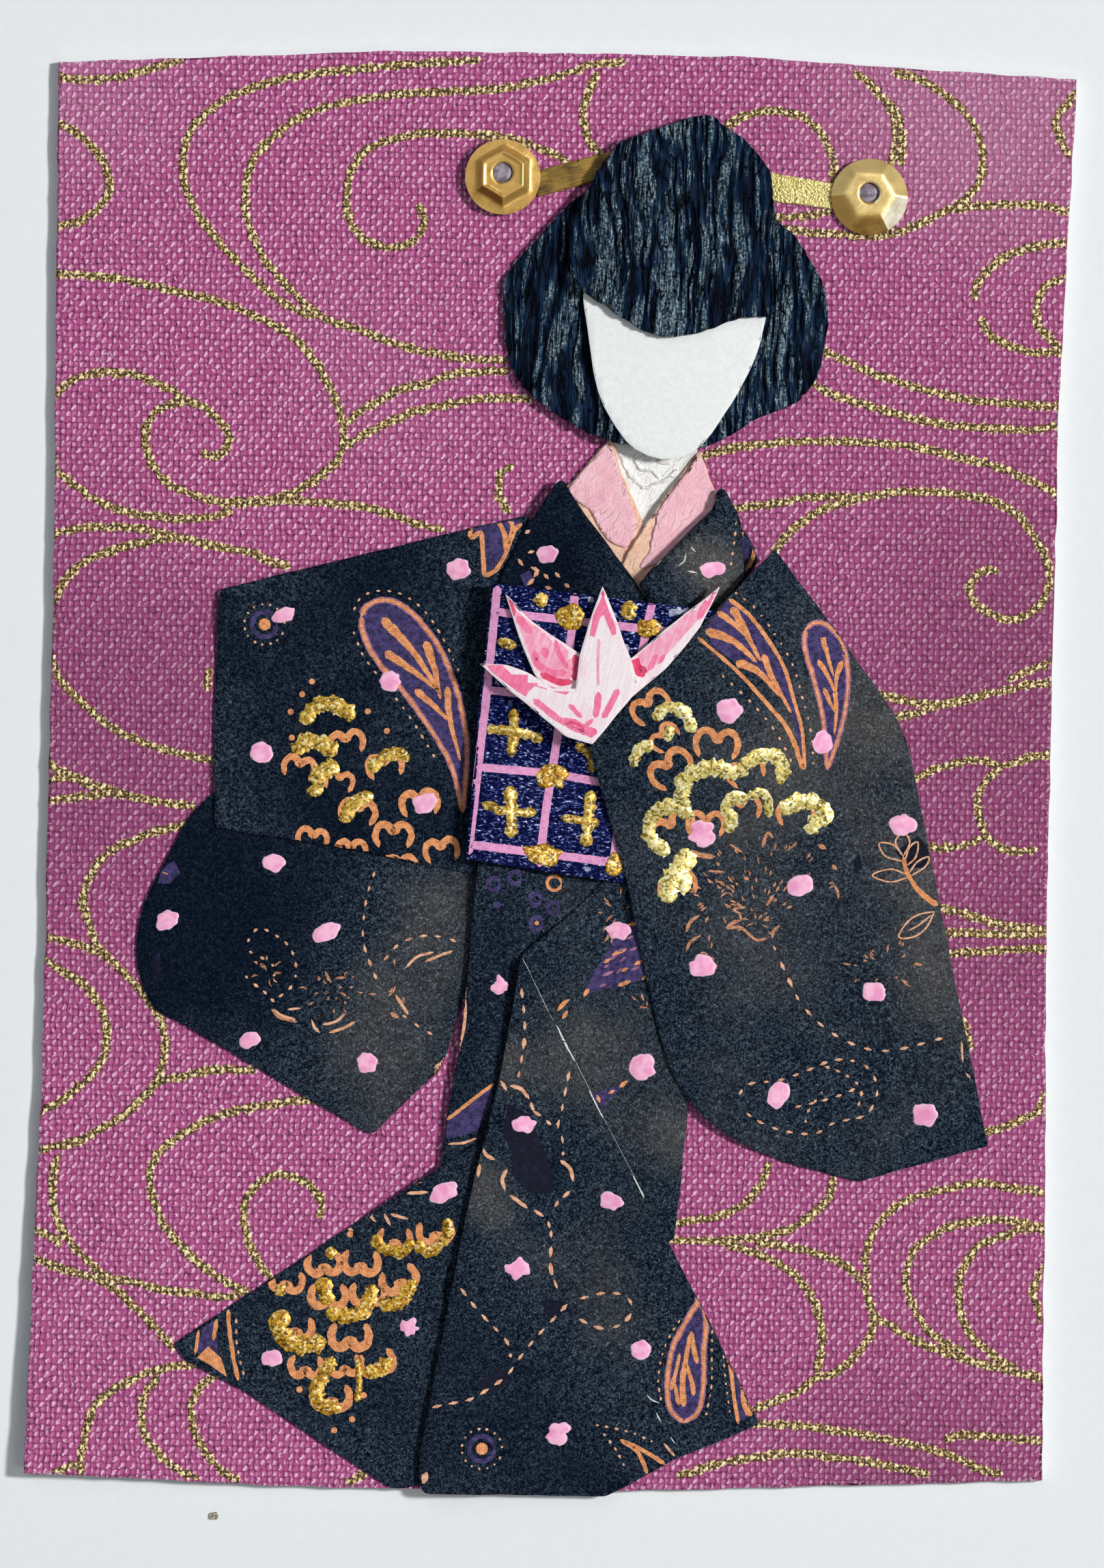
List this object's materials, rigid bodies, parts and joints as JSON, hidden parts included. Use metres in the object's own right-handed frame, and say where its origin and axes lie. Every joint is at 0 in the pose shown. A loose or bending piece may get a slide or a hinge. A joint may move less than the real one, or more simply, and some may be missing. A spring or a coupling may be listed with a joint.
{
  "type": "paper doll card",
  "caption": "Paper doll in a kimono, cut from patterned papers and glued flat on a small cloth-covered card, with a blank face and two sequin hairpins.",
  "frame": {"origin": "centre of the card's flat back face", "axes": "+X towards the viewer's right, +Y towards the doll's head along the card's long side, +Z out of the picture"},
  "size_m": [0.064, 0.0897, 0.0052],
  "materials": {
    "board": "matte",
    "cloth": "matte",
    "gold_paper": "satin",
    "white_washi": "matte",
    "black_print": "matte",
    "peach_washi": "matte",
    "pink_washi": "matte",
    "navy_paper": "satin",
    "flower_card": "matte",
    "crepe": "satin",
    "white_card": "matte",
    "gold_sequin": "gloss"
  },
  "bodies": {
    "root": {"card_board": "board", "cloth_cover": "cloth", "hairpin_left": "gold_paper", "hairpin_right": "gold_paper", "neck_strip": "white_washi", "kimono_back": "black_print", "sleeve_left_lower": "black_print", "sleeve_left_upper": "black_print", "skirt_back": "black_print", "skirt_train": "black_print", "skirt_side": "black_print", "skirt_front": "black_print", "collar_left_peach": "peach_washi", "collar_left_pink": "pink_washi", "collar_right_peach": "peach_washi", "collar_right_pink": "pink_washi", "bodice_left": "black_print", "lining_right": "pink_washi", "bodice_right": "black_print", "obi": "navy_paper", "sleeve_right": "black_print", "flower_back": "flower_card", "flower_front": "flower_card", "hair_back": "crepe", "face": "white_card", "hair_front": "crepe", "sequin_left": "gold_sequin", "sequin_right": "gold_sequin"}
  },
  "joints": []
}
